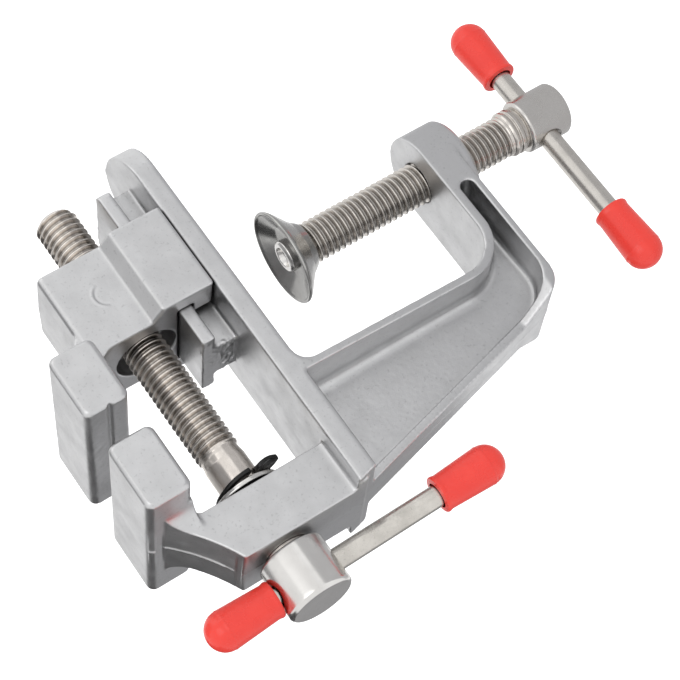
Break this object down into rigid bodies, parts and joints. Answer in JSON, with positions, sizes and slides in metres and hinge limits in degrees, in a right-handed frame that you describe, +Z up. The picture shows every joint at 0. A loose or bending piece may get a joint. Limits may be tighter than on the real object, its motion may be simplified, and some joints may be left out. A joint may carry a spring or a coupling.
{
  "type": "clamp-on bench vise",
  "caption": "Small die-cast bench vise with a table clamp below and a screw-driven jaw on a rail above, each screw turned by a sliding handle bar.",
  "frame": {"origin": "where the clamp screw's axis meets the underside of the plate, which is the face that sits on the table", "axes": "+Z up from the table face to the jaws, +X along the lead screw away from its handle, Y across the jaws"},
  "size_m": [0.0907, 0.036, 0.112],
  "materials": {
    "cast_alloy": "matte as-cast",
    "nickel_screw": "nickel plated",
    "chrome_head": "polished",
    "nickel_head": "satin nickel",
    "nickel_bar": "satin nickel",
    "bright_steel": "bright zinc",
    "black_steel": "black oxide",
    "pad_steel": "turned and plated",
    "red_cap": "soft vinyl, semi-gloss"
  },
  "bodies": {
    "base": {"frame": "cast_alloy", "wave_washer": "black_steel", "thrust_washer": "bright_steel"},
    "sliding_jaw": {"movable_jaw": "cast_alloy"},
    "lead_spindle": {"lead_screw": "nickel_screw", "lead_screw_head": "chrome_head", "e_clip": "black_steel"},
    "lead_bar": {"lead_handle_bar": "nickel_bar", "lead_cap_upper": "red_cap", "lead_cap_lower": "red_cap"},
    "clamp_foot": {"clamp_pad": "pad_steel"},
    "clamp_spindle": {"clamp_screw": "nickel_screw", "clamp_screw_head": "nickel_head"},
    "clamp_bar": {"clamp_handle_bar": "nickel_bar", "clamp_cap_tail": "red_cap", "clamp_cap_handle": "red_cap"}
  },
  "joints": [
    {"name": "lead_screw_spin", "type": "hinge", "parent": "base", "child": "lead_spindle", "pos_m": [0, 0, 0.01795], "axis": [-1, 0, 0], "range_deg": [-1684, 6306]},
    {"name": "jaw_slide", "type": "slide", "parent": "base", "child": "sliding_jaw", "axis": [1, 0, 0], "range_m": [-0.00585, 0.0219]},
    {"name": "lead_bar_slide", "type": "slide", "parent": "lead_spindle", "child": "lead_bar", "axis": [0, 0.0628, 0.998], "range_m": [0, 0.0203]},
    {"name": "clamp_feed", "type": "slide", "parent": "base", "child": "clamp_foot", "axis": [0, 0, 1], "range_m": [-0.0243, 0.0108]},
    {"name": "clamp_screw_spin", "type": "hinge", "parent": "clamp_foot", "child": "clamp_spindle", "pos_m": [0, 0, -0.04], "axis": [0, 0, 1], "range_deg": [-6998, 3109]},
    {"name": "clamp_bar_slide", "type": "slide", "parent": "clamp_spindle", "child": "clamp_bar", "axis": [1, 0, 0], "range_m": [-0.0055, 0.0182]}
  ],
  "couplings": [
    {"joint": "jaw_slide", "follows": "lead_screw_spin", "m_per_rad": 0.00019894},
    {"joint": "clamp_feed", "follows": "clamp_screw_spin", "m_per_rad": 0.00019894}
  ]
}
